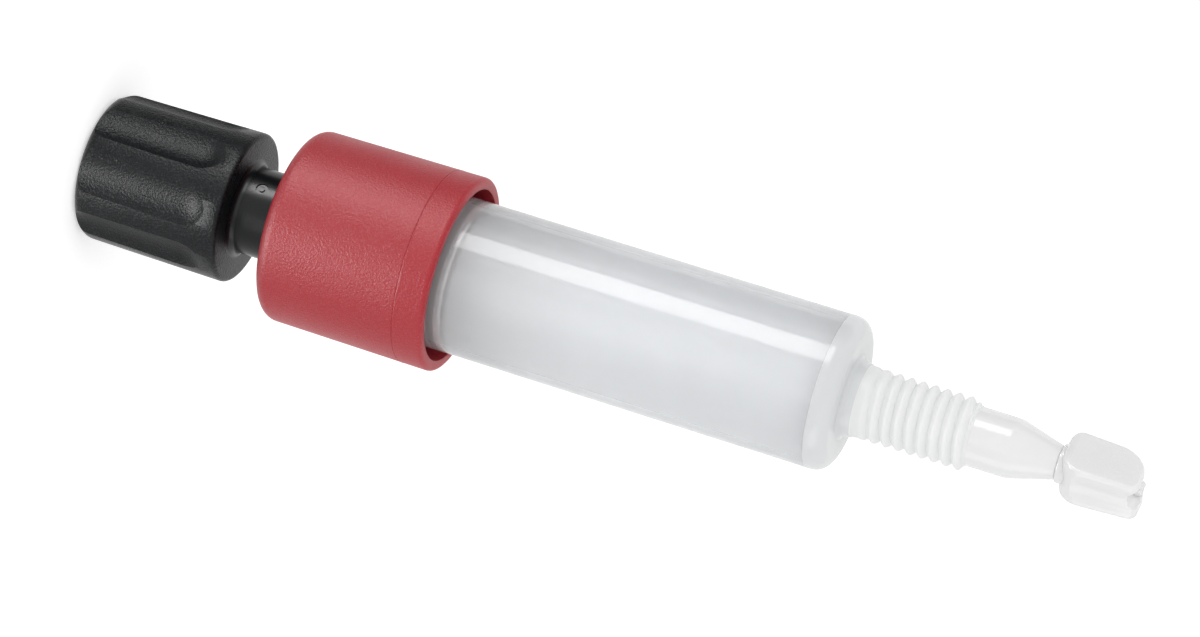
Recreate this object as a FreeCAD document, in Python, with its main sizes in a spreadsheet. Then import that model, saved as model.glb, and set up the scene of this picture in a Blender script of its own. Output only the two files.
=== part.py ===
"""Prepacked chromatography column: a short plastic tube full of gel, with a snap-off outlet tab at one end
and a red collar and a black stop plug at the other.

The column stands on the flat outer face of the plug's knob. The axis is +Z, the knob's outer face is z = 0.
The front is -Y. Sizes are in millimetres.
"""
import FreeCAD, Part
import math
import os
import Sketcher
from FreeCAD import Placement, Rotation, Vector

doc = FreeCAD.newDocument("column")

# Driving sizes
SIZES = [
    ("knob_length", 10.36, "finger knob, along the axis"),
    ("knob_end_radius", 4.90, "knob at its outer end"),
    ("knob_root_radius", 5.03, "knob at its neck end, the mould draft"),
    ("knob_end_round", 0.90, "rounding of the outer end"),
    ("knob_bevel", 0.40, "bevel of the neck end"),
    ("flute_count", 8, "finger flutes round the knob"),
    ("flute_width", 2.46, "flute across its mouth"),
    ("flute_depth", 0.42, "flute below the knob surface"),
    ("flute_stop", 1.45, "plain band left between flute and neck end"),
    ("flute_turn", -77.5, "direction of the first flute, degrees from +X"),
    ("neck_radius", 2.90, "round neck between knob and collar"),
    ("neck_fillet", 0.45, "fillet where the neck leaves the knob"),
    ("gate_radius", 0.40, "round gate mark on the neck"),
    ("gate_depth", 0.06, "gate mark below the neck surface"),
    ("gate_height", 1.40, "gate mark above the knob face"),
    ("gate_turn", -121.0, "direction of the gate mark, degrees from +X"),
    ("collar_gap", 3.35, "bare neck between knob and collar"),
    ("collar_length", 11.80, "collar, along the axis"),
    ("collar_end_radius", 6.39, "collar at its closed end"),
    ("collar_rim_radius", 6.49, "collar at its rim"),
    ("collar_end_round", 0.90, "rounding of the closed end"),
    ("collar_end_wall", 1.50, "end wall that holds the adapter down"),
    ("collar_bore", 5.73, "bore radius of the skirt"),
    ("rim_round", 0.30, "rounding of the rim's outer edge"),
    ("ring_height", 2.00, "fine line round the collar, from its rim"),
    ("ring_radius", 0.07, "section radius of that line"),
    ("bead_rise", 0.28, "snap bead inside the collar, above its bore"),
    ("bead_length", 0.50, "snap bead, along the axis"),
    ("fit_gap", 0.05, "clearance of parts that seat in each other"),
    ("neck_gap", 0.15, "clearance of the neck in the collar's hole"),
    ("thread_radius", 2.35, "10-32 thread, crest radius as moulded"),
    ("port_gap", 0.07, "clearance of the plug's nose in the port"),
    ("nose_length", 5.40, "threaded nose of the plug"),
    ("nose_setback", 0.25, "neck's shoulder short of the adapter"),
    ("seat_radius", 1.60, "mouth of the port's cone seat"),
    ("seat_depth", 1.45, "cone seat, along the axis"),
    ("tip_length", 0.70, "sealing tip of the plug"),
    ("tip_gap", 0.10, "sealing tip short of its seat, measured on the radius"),
    ("channel_radius", 0.40, "flow channel"),
    ("flange_thickness", 1.60, "flange of the adapter"),
    ("spigot_length", 9.04, "adapter inside the tube"),
    ("cord_diameter", 0.80, "section of the sealing ring"),
    ("groove_slack", 0.10, "seal groove wider than the ring"),
    ("groove_lip", 0.20, "adapter left beyond the seal groove"),
    ("frit_radius", 2.20, "upper frit"),
    ("frit_thickness", 0.80, "upper frit"),
    ("tube_bore", 3.50, "bore radius, a 7 mm column"),
    ("tube_radius", 5.04, "outside of the tube"),
    ("tube_flange_thickness", 1.60, "flange at the head of the tube"),
    ("tube_end_round", 1.10, "rounding of the closed end"),
    ("bed_height", 25.00, "packed bed"),
    ("lower_frit_thickness", 0.55, "frit under the bed"),
    ("floor_thickness", 0.79, "closed end of the tube"),
    ("collector_radius", 2.40, "shallow cone that gathers the flow"),
    ("collector_depth", 0.30, "shallow cone that gathers the flow"),
    ("outlet_length", 8.25, "outlet stem with its thread"),
    ("outlet_chamfer", 0.30, "lead-in of the outlet thread"),
    ("thread_pitch", 0.79375, "outlet thread, 32 turns to the inch"),
    ("thread_root", 1.97, "root radius of the outlet thread"),
    ("thread_groove", 0.66, "width of the thread's groove at the crest"),
    ("thread_lift", 1.05, "groove's start above the closed end, on the +X side"),
    ("thread_reach", 7.50, "groove's run along the axis, out past the stem"),
    ("nozzle_radius", 1.93, "plain nozzle beyond the thread"),
    ("nozzle_length", 2.63, "plain nozzle, along the axis"),
    ("cone_length", 2.93, "tapered nozzle tip"),
    ("cone_tip_radius", 1.10, "nozzle at the break line"),
    ("break_radius", 0.62, "thin neck that breaks"),
    ("break_length", 0.12, "thin neck that breaks"),
    ("hub_radius", 1.18, "round hub of the tab"),
    ("hub_length", 0.12, "hub between break line and block"),
    ("hub_round", 0.15, "rounding of the hub"),
    ("tab_length", 5.26, "block of the tab"),
    ("tab_width", 3.62, "block across its grained faces"),
    ("tab_thickness", 3.12, "block between its grained faces"),
    ("tab_taper", 2.00, "draft of the block, degrees"),
    ("tab_corner", 0.25, "rounding round both grained faces"),
    ("tab_base_round", 0.44, "rounding of the grained faces' corners at the neck end"),
    ("tab_near_round", 0.60, "rounding of their far corners on the front side"),
    ("tab_far_round", 2.00, "rounding of their far corners on the back side"),
    ("tab_turn", -45.0, "direction across the hollowed faces, degrees from +X"),
    ("tab_groove_radius", 2.40, "hollow in two faces of the block"),
    ("tab_groove_depth", 0.35, "hollow at the block's base"),
    ("tab_groove_start", 1.90, "hollow's round end above the block's base"),
    ("tab_notch_radius", 0.80, "notch across the far end"),
    ("tab_notch_lift", 0.15, "notch's axis beyond the far end"),
    ("tab_notch_shift", 0.15, "notch's axis off the column's axis"),
    ("tab_notch_length", 5.00, "notch, cut right across"),
    ("sprue_radius", 0.48, "sprue stub in the notch"),
    ("sprue_height", 0.80, "sprue stub in the notch"),
    ("sprue_proud", 0.05, "sprue stub beyond the far end"),
]

sheet = doc.addObject("Spreadsheet::Sheet", "sizes")
sheet.set("A1", "name")
sheet.set("B1", "value")
sheet.set("C1", "what it is")
for row, (name, value, note) in enumerate(SIZES, start=2):
    sheet.set(f"A{row}", name)
    sheet.set(f"B{row}", str(value))
    sheet.set(f"C{row}", note)
    sheet.setAlias(f"B{row}", name)
doc.recompute()


class Size:
    """A number that keeps the expression it comes from, so that a feature can be bound to the sheet."""

    def __init__(self, text, value):
        self.text = text
        self.value = float(value)

    def join(self, other, sign, swap=False):
        if not isinstance(other, Size):
            other = Size(repr(other), other)
        a, b = (other, self) if swap else (self, other)
        if sign == "+":
            value = a.value + b.value
        elif sign == "-":
            value = a.value - b.value
        elif sign == "*":
            value = a.value * b.value
        else:
            value = a.value / b.value
        return Size(f"({a.text} {sign} {b.text})", value)

    def __add__(self, other):
        return self.join(other, "+")

    def __radd__(self, other):
        return self.join(other, "+", True)

    def __sub__(self, other):
        return self.join(other, "-")

    def __rsub__(self, other):
        return self.join(other, "-", True)

    def __mul__(self, other):
        return self.join(other, "*")

    def __rmul__(self, other):
        return self.join(other, "*", True)

    def __truediv__(self, other):
        return self.join(other, "/")

    def root(self):
        return Size(f"sqrt({self.text})", math.sqrt(self.value))

    def cos(self):
        return Size(f"cos({self.text} * 1 deg)", math.cos(math.radians(self.value)))

    def sin(self):
        return Size(f"sin({self.text} * 1 deg)", math.sin(math.radians(self.value)))


S = {name: Size(f"sizes.{name}", sheet.get(name)) for name, value, note in SIZES}

# Levels along the axis, all from the sheet
collar_base = S["knob_length"] + S["collar_gap"]
collar_rim = collar_base + S["collar_length"]
adapter_face = collar_base + S["collar_end_wall"]
tube_top = adapter_face + S["flange_thickness"]
flange_end = tube_top + S["tube_flange_thickness"]
bed_top = tube_top + S["spigot_length"]
bed_end = bed_top + S["bed_height"]
floor_top = bed_end + S["lower_frit_thickness"]
tube_end = floor_top + S["floor_thickness"]
thread_end = tube_end + S["outlet_length"]
nozzle_end = thread_end + S["nozzle_length"]
cone_end = nozzle_end + S["cone_length"]
hub_start = cone_end + S["break_length"]
tab_base = hub_start + S["hub_length"]
tab_end = tab_base + S["tab_length"]
neck_end = adapter_face - S["nose_setback"]
nose_end = neck_end + S["nose_length"]
seat_start = nose_end + S["fit_gap"]
flange_radius = S["collar_bore"] - S["fit_gap"]
port_radius = S["thread_radius"] + S["port_gap"]
groove_end = bed_top - S["groove_lip"]
groove_start = groove_end - S["cord_diameter"] - S["groove_slack"]
groove_floor = S["tube_bore"] - S["cord_diameter"] - S["fit_gap"]
frit_start = bed_top - S["frit_thickness"]
ZERO = Size("0", 0.0)


def bind(thing, name, size):
    """Tie a property of a feature to the sheet."""
    if isinstance(size, Size):
        thing.setExpression(name, size.text)
    else:
        setattr(thing, name, size)


def new_body(name):
    body = doc.addObject("PartDesign::Body", name)
    body.Label = name
    return body


def profile(body, name, points):
    """A closed sketch in the XZ plane through points given as (radius, height)."""
    sketch = body.newObject("Sketcher::SketchObject", name)
    sketch.Placement = Placement(Vector(0, 0, 0), Rotation(Vector(1, 0, 0), 90))
    at = [Vector(r.value, z.value, 0) for r, z in points]
    for i, start in enumerate(at):
        sketch.addGeometry(Part.LineSegment(start, at[(i + 1) % len(at)]), False)
    for i in range(len(at)):
        sketch.addConstraint(Sketcher.Constraint("Coincident", i, 2, (i + 1) % len(at), 1))
    for i, (r, z) in enumerate(points):
        if r is ZERO:
            sketch.addConstraint(Sketcher.Constraint("PointOnObject", i, 1, -2))
        else:
            k = sketch.addConstraint(Sketcher.Constraint("DistanceX", -1, 1, i, 1, r.value))
            sketch.setExpression(f"Constraints[{k}]", r.text)
        if z is ZERO:
            sketch.addConstraint(Sketcher.Constraint("PointOnObject", i, 1, -1))
        else:
            k = sketch.addConstraint(Sketcher.Constraint("DistanceY", -1, 1, i, 1, z.value))
            sketch.setExpression(f"Constraints[{k}]", z.text)
    doc.recompute()
    return sketch


def turned(body, name, points, cut=False):
    """A solid of revolution about Z, or a turned cut."""
    sketch = profile(body, name + "_profile", points)
    feature = body.newObject("PartDesign::Groove" if cut else "PartDesign::Revolution", name)
    feature.Profile = sketch
    feature.ReferenceAxis = (sketch, ["V_Axis"])
    feature.Angle = 360.0
    body.Tip = feature
    doc.recompute()
    return feature


def circles(shape, radius, height):
    """Names of the round edges about Z at one radius and height."""
    names = []
    for i, edge in enumerate(shape.Edges, start=1):
        curve = edge.Curve
        if not isinstance(curve, Part.Circle):
            continue
        if abs(curve.Radius - radius) > 1e-4 or abs(curve.Center.z - height) > 1e-4:
            continue
        if abs(curve.Center.x) < 1e-4 and abs(curve.Center.y) < 1e-4:
            names.append(f"Edge{i}")
    return names


def soften(body, name, kind, places, size):
    """A fillet or chamfer on round edges given as (radius, height)."""
    base = body.Tip
    edges = []
    for radius, height in places:
        edges += circles(base.Shape, radius.value, height.value)
    feature = body.newObject(kind, name)
    feature.Base = (base, edges)
    bind(feature, "Radius" if kind.endswith("Fillet") else "Size", size)
    body.Tip = feature
    doc.recompute()
    return feature


def primitive(body, kind, name, sizes, x, y, z, turn=None):
    """A round primitive added to a body or cut from it, placed from the sheet."""
    feature = body.newObject("PartDesign::" + kind, name)
    for key, size in sizes.items():
        bind(feature, key, size)
    if turn is not None:
        feature.Placement = Placement(Vector(0, 0, 0), turn)
    for key, size in (("x", x), ("y", y), ("z", z)):
        feature.setExpression("Placement.Base." + key, size.text)
    body.Tip = feature
    doc.recompute()
    return feature


def round_pattern(body, name, features, count):
    pattern = body.newObject("PartDesign::PolarPattern", name)
    pattern.Originals = features
    pattern.Axis = (body.Origin.OriginFeatures[2], [""])
    pattern.Angle = 360.0
    bind(pattern, "Occurrences", count)
    body.Tip = pattern
    doc.recompute()
    return pattern


# Stop plug: knob, neck, threaded nose and sealing tip in one moulding
plug = new_body("stop_plug")
tip_slope = (S["seat_radius"] - S["channel_radius"]) / S["seat_depth"]
tip_base_radius = S["seat_radius"] - S["tip_gap"]
tip_end_radius = tip_base_radius - tip_slope * S["tip_length"]
turned(plug, "plug_turning", [
    (ZERO, ZERO),
    (S["knob_end_radius"], ZERO),
    (S["knob_root_radius"], S["knob_length"]),
    (S["neck_radius"], S["knob_length"]),
    (S["neck_radius"], neck_end),
    (S["thread_radius"], neck_end),
    (S["thread_radius"], nose_end),
    (tip_base_radius, nose_end),
    (tip_end_radius, nose_end + S["tip_length"]),
    (ZERO, nose_end + S["tip_length"]),
])
soften(plug, "neck_root", "PartDesign::Fillet", [(S["neck_radius"], S["knob_length"])], S["neck_fillet"])
soften(plug, "knob_rim", "PartDesign::Chamfer", [(S["knob_root_radius"], S["knob_length"])], S["knob_bevel"])
soften(plug, "knob_end", "PartDesign::Fillet", [(S["knob_end_radius"], ZERO)], S["knob_end_round"])

# Each flute is a round-ended hollow: a cylinder and a ball of one radius
half_width = S["flute_width"] / 2
knob_mean_radius = (S["knob_end_radius"] + S["knob_root_radius"]) / 2
rise = knob_mean_radius - (knob_mean_radius * knob_mean_radius - half_width * half_width).root()
chord_depth = S["flute_depth"] - rise
flute_radius = (half_width * half_width + chord_depth * chord_depth) / (2 * chord_depth)
flute_reach = knob_mean_radius - S["flute_depth"] + flute_radius
flute_x = flute_reach * S["flute_turn"].cos()
flute_y = flute_reach * S["flute_turn"].sin()
flute_top = S["knob_length"] - S["flute_stop"] - half_width
flute_run = primitive(plug, "SubtractiveCylinder", "flute_run",
                      {"Radius": flute_radius, "Height": flute_top + S["knob_end_round"]},
                      flute_x, flute_y, ZERO - S["knob_end_round"])
flute_ball = primitive(plug, "SubtractiveSphere", "flute_ball", {"Radius": flute_radius},
                       flute_x, flute_y, flute_top)
round_pattern(plug, "flutes", [flute_run, flute_ball], S["flute_count"])

# The gate mark is a shallow round recess in the side of the neck
gate_reach = S["neck_radius"] - S["gate_depth"]
gate_rotation = Rotation(Vector(0, 0, 1), S["gate_turn"].value) * Rotation(Vector(0, 1, 0), 90)
primitive(plug, "SubtractiveCylinder", "gate_mark", {"Radius": S["gate_radius"], "Height": S["gate_radius"] * 2},
          gate_reach * S["gate_turn"].cos(), gate_reach * S["gate_turn"].sin(),
          S["knob_length"] + S["gate_height"], gate_rotation)

# Collar: end wall, skirt and the snap bead that holds the tube's flange
collar = new_body("collar")
hole_radius = S["neck_radius"] + S["neck_gap"]
bead_start = flange_end + S["fit_gap"]
bead_end = bead_start + S["bead_length"]
turned(collar, "collar_turning", [
    (hole_radius, collar_base),
    (S["collar_end_radius"], collar_base),
    (S["collar_rim_radius"], collar_rim),
    (S["collar_bore"], collar_rim),
    (S["collar_bore"], bead_end + S["bead_rise"]),
    (S["collar_bore"] - S["bead_rise"], bead_end),
    (S["collar_bore"] - S["bead_rise"], bead_start),
    (S["collar_bore"], bead_start),
    (S["collar_bore"], adapter_face),
    (hole_radius, adapter_face),
])
soften(collar, "collar_end", "PartDesign::Fillet", [(S["collar_end_radius"], collar_base)], S["collar_end_round"])
soften(collar, "collar_rim_edge", "PartDesign::Fillet", [(S["collar_rim_radius"], collar_rim)], S["rim_round"])
ring_level = collar_rim - S["ring_height"]
ring_share = (ring_level - collar_base) / S["collar_length"]
ring_reach = S["collar_end_radius"] + ring_share * (S["collar_rim_radius"] - S["collar_end_radius"])
primitive(collar, "SubtractiveTorus", "ring_line", {"Radius1": ring_reach, "Radius2": S["ring_radius"]},
          ZERO, ZERO, ring_level)

# Inlet adapter: flange, spigot, port with its cone seat, channel, seal groove and frit seat
adapter = new_body("inlet_adapter")
spigot_radius = S["tube_bore"] - S["fit_gap"]
turned(adapter, "adapter_turning", [
    (port_radius, adapter_face),
    (flange_radius, adapter_face),
    (flange_radius, tube_top),
    (spigot_radius, tube_top),
    (spigot_radius, groove_start),
    (groove_floor, groove_start),
    (groove_floor, groove_end),
    (spigot_radius, groove_end),
    (spigot_radius, bed_top),
    (S["frit_radius"] + S["fit_gap"], bed_top),
    (S["frit_radius"] + S["fit_gap"], frit_start),
    (S["channel_radius"], frit_start),
    (S["channel_radius"], seat_start + S["seat_depth"]),
    (S["seat_radius"], seat_start),
    (port_radius, seat_start),
])

# Sealing ring in the adapter's groove
seal = new_body("adapter_o_ring")
seal_section = S["cord_diameter"] / 2
primitive(seal, "AdditiveTorus", "seal_ring",
          {"Radius1": S["tube_bore"] - S["fit_gap"] / 2 - seal_section, "Radius2": seal_section},
          ZERO, ZERO, (groove_start + groove_end) / 2)

# Upper frit, pressed into the end of the adapter
upper = new_body("upper_frit")
primitive(upper, "AdditiveCylinder", "upper_disc",
          {"Radius": S["frit_radius"], "Height": S["frit_thickness"]}, ZERO, ZERO, frit_start)

# Packed bed
bed = new_body("packed_bed")
primitive(bed, "AdditiveCylinder", "bed_fill",
          {"Radius": S["tube_bore"] - S["fit_gap"], "Height": S["bed_height"]}, ZERO, ZERO, bed_top)

# Lower frit, on the floor of the tube
lower = new_body("lower_frit")
primitive(lower, "AdditiveCylinder", "lower_disc",
          {"Radius": S["tube_bore"] - S["fit_gap"], "Height": S["lower_frit_thickness"]}, ZERO, ZERO, bed_end)

# Column tube: flanged tube, closed end, outlet, nozzle and snap-off tab in one moulding
tube = new_body("column_tube")
turned(tube, "tube_turning", [
    (S["tube_bore"], tube_top),
    (flange_radius, tube_top),
    (flange_radius, flange_end),
    (S["tube_radius"], flange_end),
    (S["tube_radius"], tube_end),
    (S["thread_radius"], tube_end),
    (S["thread_radius"], thread_end - S["outlet_chamfer"]),
    (S["thread_radius"] - S["outlet_chamfer"], thread_end),
    (S["nozzle_radius"], thread_end),
    (S["nozzle_radius"], nozzle_end),
    (S["cone_tip_radius"], cone_end),
    (S["break_radius"], cone_end),
    (S["break_radius"], hub_start),
    (S["hub_radius"], hub_start),
    (S["hub_radius"], tab_base + S["tab_base_round"]),
    (ZERO, tab_base + S["tab_base_round"]),
    (ZERO, tab_base),
    (S["channel_radius"], tab_base),
    (S["channel_radius"], floor_top + S["collector_depth"]),
    (S["collector_radius"], floor_top),
    (S["tube_bore"], floor_top),
])
soften(tube, "tube_end_edge", "PartDesign::Fillet", [(S["tube_radius"], tube_end)], S["tube_end_round"])
soften(tube, "hub_edge", "PartDesign::Fillet", [(S["hub_radius"], hub_start)], S["hub_round"])

# Outlet thread: a right-handed groove with a V section, swept along a helix about the axis
groove_height = tube_end + S["thread_lift"]
groove_mouth = S["thread_radius"] + S["fit_gap"] / 5
groove_section = profile(tube, "thread_groove_section", [
    (S["thread_root"], groove_height),
    (groove_mouth, groove_height - S["thread_groove"] / 2),
    (groove_mouth, groove_height + S["thread_groove"] / 2),
])
thread = tube.newObject("PartDesign::SubtractiveHelix", "outlet_thread")
thread.Profile = groove_section
thread.ReferenceAxis = (groove_section, ["V_Axis"])
thread.Mode = 0
thread.HasBeenEdited = True
bind(thread, "Pitch", S["thread_pitch"])
bind(thread, "Height", S["thread_reach"])
tube.Tip = thread
doc.recompute()

# The tab's block is padded with its mould draft from a sketch square to its grained faces
block_sketch = tube.newObject("Sketcher::SketchObject", "tab_section")
block_sketch.Placement = Placement(Vector(0, 0, 0), Rotation(Vector(0, 0, 1), S["tab_turn"].value))
half_x = S["tab_width"] / 2
half_y = S["tab_thickness"] / 2
corners = [(-1, -1), (1, -1), (1, 1), (-1, 1)]
spots = [Vector(sx * half_x.value, sy * half_y.value, 0) for sx, sy in corners]
for i in range(4):
    block_sketch.addGeometry(Part.LineSegment(spots[i], spots[(i + 1) % 4]), False)
for i in range(4):
    block_sketch.addConstraint(Sketcher.Constraint("Coincident", i, 2, (i + 1) % 4, 1))
for i, kind in enumerate(("Horizontal", "Vertical", "Horizontal", "Vertical")):
    block_sketch.addConstraint(Sketcher.Constraint(kind, i))
block_sketch.addConstraint(Sketcher.Constraint("Symmetric", 0, 1, 1, 2, -1, 1))
k = block_sketch.addConstraint(Sketcher.Constraint("DistanceX", 0, 1, 0, 2, S["tab_width"].value))
block_sketch.setExpression(f"Constraints[{k}]", S["tab_width"].text)
k = block_sketch.addConstraint(Sketcher.Constraint("DistanceY", 1, 1, 1, 2, S["tab_thickness"].value))
block_sketch.setExpression(f"Constraints[{k}]", S["tab_thickness"].text)
block_sketch.setExpression("Placement.Base.z", tab_base.text)
doc.recompute()
block = tube.newObject("PartDesign::Pad", "tab_block")
block.Profile = block_sketch
bind(block, "Length", S["tab_length"])
bind(block, "TaperAngle", ZERO - S["tab_taper"])
tube.Tip = block
doc.recompute()


def across(edge):
    """Where the middle of an edge lies across the hollowed faces, along tab_turn."""
    middle = edge.BoundBox.Center
    return middle.x * S["tab_turn"].cos().value + middle.y * S["tab_turn"].sin().value


def corner_edge(shape, height, side):
    """The straight edge at one end of the block and on one hollowed face."""
    for i, edge in enumerate(shape.Edges, start=1):
        box = edge.BoundBox
        level = abs(box.ZMin - height) < 1e-4 and box.ZLength < 1e-4
        if level and edge.Length > S["hub_radius"].value and across(edge) * side > S["hub_radius"].value:
            return f"Edge{i}"
    raise SystemExit(f"no corner edge at {height}")


for name, height, side, size in (("tab_base_front", tab_base, 1, S["tab_base_round"]),
                                 ("tab_base_back", tab_base, -1, S["tab_base_round"]),
                                 ("tab_far_front", tab_end, 1, S["tab_near_round"]),
                                 ("tab_far_back", tab_end, -1, S["tab_far_round"])):
    base = tube.Tip
    rounding = tube.newObject("PartDesign::Fillet", name)
    rounding.Base = (base, [corner_edge(base.Shape, height.value, side)])
    bind(rounding, "Radius", size)
    tube.Tip = rounding
    doc.recompute()


def grained_outlines(shape):
    """Edges round the block's two grained faces."""
    square = Vector(-S["tab_turn"].sin().value, S["tab_turn"].cos().value, 0)
    outline = []
    for face in shape.Faces:
        if face.BoundBox.ZLength < S["tab_length"].value - 1e-3:
            continue
        first_u, last_u, first_v, last_v = face.ParameterRange
        normal = face.normalAt((first_u + last_u) / 2, (first_v + last_v) / 2)
        if abs(normal.dot(square)) > 0.9:
            outline += face.Edges
    return [f"Edge{i}" for i, edge in enumerate(shape.Edges, start=1) if any(edge.isSame(e) for e in outline)]


base = tube.Tip
rounding = tube.newObject("PartDesign::Fillet", "tab_face_outlines")
rounding.Base = (base, grained_outlines(base.Shape))
bind(rounding, "Radius", S["tab_corner"])
tube.Tip = rounding
doc.recompute()

# Two faces of the block are hollowed by shallow round-ended grooves that run out at its far end
groove_reach = half_x + S["tab_groove_radius"] - S["tab_groove_depth"]
hollows = []
for name, side in (("front", 1), ("back", -1)):
    x = groove_reach * S["tab_turn"].cos() * side
    y = groove_reach * S["tab_turn"].sin() * side
    start = tab_base + S["tab_groove_start"]
    primitive(tube, "SubtractiveCylinder", f"tab_hollow_{name}",
              {"Radius": S["tab_groove_radius"], "Height": S["tab_length"]}, x, y, start)
    primitive(tube, "SubtractiveSphere", f"tab_hollow_end_{name}",
              {"Radius": S["tab_groove_radius"]}, x, y, start)

# A notch runs across the far end, and the sprue stub stands in it
notch_x = S["tab_turn"].cos() * S["tab_notch_length"] / 2 + S["tab_turn"].sin() * S["tab_notch_shift"]
notch_y = S["tab_turn"].sin() * S["tab_notch_length"] / 2 - S["tab_turn"].cos() * S["tab_notch_shift"]
notch_turn = Rotation(Vector(0, 0, 1), S["tab_turn"].value) * Rotation(Vector(0, 1, 0), -90)
primitive(tube, "SubtractiveCylinder", "tab_notch",
          {"Radius": S["tab_notch_radius"], "Height": S["tab_notch_length"]}, notch_x, notch_y,
          tab_end + S["tab_notch_lift"], notch_turn)
primitive(tube, "AdditiveCylinder", "sprue_stub",
          {"Radius": S["sprue_radius"], "Height": S["sprue_height"]}, ZERO, ZERO,
          tab_end + S["sprue_proud"] - S["sprue_height"])

doc.recompute()
for thing in doc.Objects:
    if "Invalid" in thing.State or "Error" in thing.State:
        raise SystemExit(f"{thing.Name} failed: {thing.State}")

os.makedirs("parts", exist_ok=True)
for body in (plug, collar, adapter, seal, upper, bed, lower, tube):
    if body.Shape.isNull() or not body.Shape.isValid():
        raise SystemExit(f"{body.Label} has no valid shape")
    body.Shape.exportStep(f"parts/{body.Label}.step")
    box = body.Shape.BoundBox
    print(body.Label, len(body.Shape.Solids), round(body.Shape.Volume, 2), [round(v, 3) for v in (box.XMin, box.XMax, box.YMin, box.YMax, box.ZMin, box.ZMax)])
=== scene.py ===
"""Looks of the prepacked chromatography column: moulded parts, gel bed, outlet thread and snap-off tab.

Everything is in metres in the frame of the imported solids: the column stands on its knob, +Z runs to the
outlet tab and -Y is the front. Sizes below are in millimetres, and become metres through MM, and
angles are in degrees, where no comment says otherwise.
"""

import math

import bmesh
import bpy
from mathutils import Matrix, Vector, noise

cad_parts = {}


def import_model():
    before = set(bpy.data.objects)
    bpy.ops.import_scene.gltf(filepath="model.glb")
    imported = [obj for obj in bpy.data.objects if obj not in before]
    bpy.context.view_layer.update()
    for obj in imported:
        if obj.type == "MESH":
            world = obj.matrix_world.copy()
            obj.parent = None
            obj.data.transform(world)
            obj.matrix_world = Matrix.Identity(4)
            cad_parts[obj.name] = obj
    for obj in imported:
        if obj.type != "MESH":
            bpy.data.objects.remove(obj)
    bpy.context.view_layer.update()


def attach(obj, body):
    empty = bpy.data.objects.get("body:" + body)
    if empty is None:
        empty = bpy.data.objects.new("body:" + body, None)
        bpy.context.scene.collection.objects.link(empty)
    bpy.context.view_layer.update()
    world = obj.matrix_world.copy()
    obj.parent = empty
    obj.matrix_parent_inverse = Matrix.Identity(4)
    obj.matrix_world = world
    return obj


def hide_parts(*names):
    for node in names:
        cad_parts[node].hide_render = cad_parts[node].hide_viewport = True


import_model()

MM = 0.001
FULL_TURN = 2 * math.pi

# Sizes of the solids
KNOB_LENGTH = 10.36
KNOB_END_RADIUS = 4.90
KNOB_ROOT_RADIUS = 5.03
KNOB_END_ROUND = 0.90
FLUTES = 8
FLUTE_WIDTH = 2.46
FLUTE_DEPTH = 0.42
FLUTE_STOP = 1.45
FLUTE_TURN = -77.5
NECK_RADIUS = 2.90
NECK_FILLET = 0.45
GATE_RADIUS = 0.40
GATE_HEIGHT = 1.40
GATE_TURN = -121.0
COLLAR_BASE = 13.71
COLLAR_RIM = 25.51
COLLAR_END_RADIUS = 6.39
COLLAR_RIM_RADIUS = 6.49
COLLAR_END_ROUND = 0.90
COLLAR_END_WALL = 1.50
COLLAR_BORE = 5.73
RIM_ROUND = 0.30
RING_HEIGHT = 2.00
RING_RADIUS = 0.07
BEAD_RISE = 0.28
BEAD_LENGTH = 0.50
FIT_GAP = 0.05
NECK_GAP = 0.15
THREAD_RADIUS = 2.35
THREAD_ROOT = 1.97
PITCH = 0.79375
NOSE_LENGTH = 5.40
NOSE_SETBACK = 0.25
TIP_RADIUS = 1.50
TIP_END_RADIUS = 0.92
TIP_LENGTH = 0.70
FLANGE_THICKNESS = 1.60
BED_TOP = 25.85
BED_END = 50.85
FLOOR_TOP = 51.40
TUBE_BORE = 3.50
SEAL_SECTION = 0.40
TUBE_RADIUS = 5.04
TUBE_END = 52.19
TUBE_END_ROUND = 1.10
THREAD_END = 60.44
NOZZLE_RADIUS = 1.93
NOZZLE_END = 63.07
CONE_TIP_RADIUS = 1.10
CONE_END = 66.00
TAB_BASE = 66.24
TAB_WIDTH = 3.62
TAB_THICKNESS = 3.12
TAB_TAPER = 2.0
TAB_NEAR_ROUND = 0.60
TAB_FAR_ROUND = 2.00
TAB_TURN = -45.0
TAB_GROOVE_RADIUS = 2.40
TAB_GROOVE_DEPTH = 0.35
TAB_GROOVE_START = 1.90
NOTCH_RADIUS = 0.80
NOTCH_LIFT = 0.15
NOTCH_SHIFT = 0.15
SPRUE_RADIUS = 0.48
SPRUE_HEIGHT = 0.80
SPRUE_PROUD = 0.05
CHANNEL_RADIUS = 0.40

# Sizes of forms that the scene draws finer than the solids, or in its own way
KNOB_BEVEL = 0.30  # a little less than in the solids
GATE_BUTTON = 0.20  # inside of the pressed ring of the gate mark
GATE_DEPTH = 0.09
SMOOTH_START = 8.00  # past this height the faces near the axis are the smooth neck
SMOOTH_MARGIN = 0.02
RIM_BORE_ROUND = 0.08
HOLE_ROUND = 0.12
RING_LIP = 0.013  # fine lip beside the collar's ring line
CREST_HEIGHT = 54.43  # a crest of the outlet thread on the +X side
NOSE_SINK = 0.40  # the nose's foot inside the neck
FLANGE_ROUND = 0.15
BED_EDGE = 0.02  # the bed's edge above its top face
BED_UNEVEN = 0.16  # how far that edge wanders
BED_WALL_START = 0.25
GEL_WETTING = 0.015  # the gel inside the wall, so that it is seen through it as wet gel is
SEAL_PRESS = 0.018  # the sealing ring inside the wall, as a pressed ring is seen
# Painted shadow of the sealing ring on the bed's top:
SEAL_SHADE = 0.50  # length of the bed that the sealing ring darkens
SEAL_HEIGHT = 25.15
TUBE_END_TONE = 0.10  # milky plastic starts this far past the bed
STEM_RADIUS = 2.46  # the stem before the thread
STEM_DRAFT = 0.06
STEM_SINK = 0.30  # the stem's foot inside the closed end
ROOT_COVE = 0.42  # cove where the stem meets the closed end
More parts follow.
